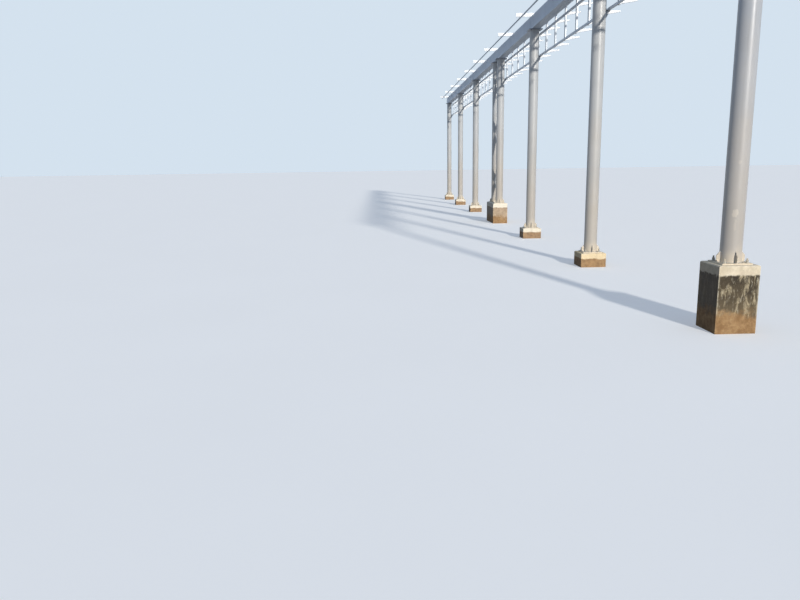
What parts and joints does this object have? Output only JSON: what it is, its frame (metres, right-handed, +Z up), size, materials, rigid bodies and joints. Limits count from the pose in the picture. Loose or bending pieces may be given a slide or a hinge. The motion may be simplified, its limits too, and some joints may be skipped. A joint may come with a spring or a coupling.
{
  "type": "industrial pipe bridge",
  "caption": "Single-row pipe bridge on tubular columns and concrete plinths, with a box beam, crossarms for pipes, a two-legged anchor support and a hanging cable rack.",
  "frame": {"origin": "on the ground, under the middle of the two-legged anchor support's plinth", "axes": "+Y along the bridge, +X across it towards the cable rack, +Z up"},
  "size_m": [1.155, 36.6, 6.48],
  "materials": {
    "beam_paint": "satin",
    "column_paint": "satin",
    "foot_steel": "satin",
    "plinth_concrete": "matte",
    "rack_paint": "satin"
  },
  "bodies": {
    "root": {"anchor_lacing": "column_paint", "beam_1": "beam_paint", "beam_2": "beam_paint", "beam_3": "beam_paint", "beam_4": "beam_paint", "beam_5": "beam_paint", "beam_6": "beam_paint", "column_a": "column_paint", "column_b": "column_paint", "column_c": "column_paint", "column_caps": "beam_paint", "column_d_far": "column_paint", "column_d_near": "column_paint", "column_e": "column_paint", "column_f": "column_paint", "column_g": "column_paint", "crossarm_ties": "beam_paint", "crossarms": "beam_paint", "feet_a": "foot_steel", "feet_b": "foot_steel", "feet_c": "foot_steel", "feet_d": "foot_steel", "feet_e": "foot_steel", "feet_f": "foot_steel", "feet_g": "foot_steel", "plinth_a": "plinth_concrete", "plinth_b": "plinth_concrete", "plinth_c": "plinth_concrete", "plinth_d": "plinth_concrete", "plinth_e": "plinth_concrete", "plinth_f": "plinth_concrete", "plinth_g": "plinth_concrete", "rack_brackets": "rack_paint", "rack_panel_1": "rack_paint", "rack_panel_2": "rack_paint", "rack_panel_3": "rack_paint", "rack_panel_4": "rack_paint", "rack_panel_5": "rack_paint", "rack_panel_6": "rack_paint", "rack_shelves_1": "rack_paint", "rack_shelves_2": "rack_paint", "rack_shelves_3": "rack_paint", "rack_shelves_4": "rack_paint", "rack_shelves_5": "rack_paint", "rack_shelves_6": "rack_paint"}
  },
  "joints": []
}
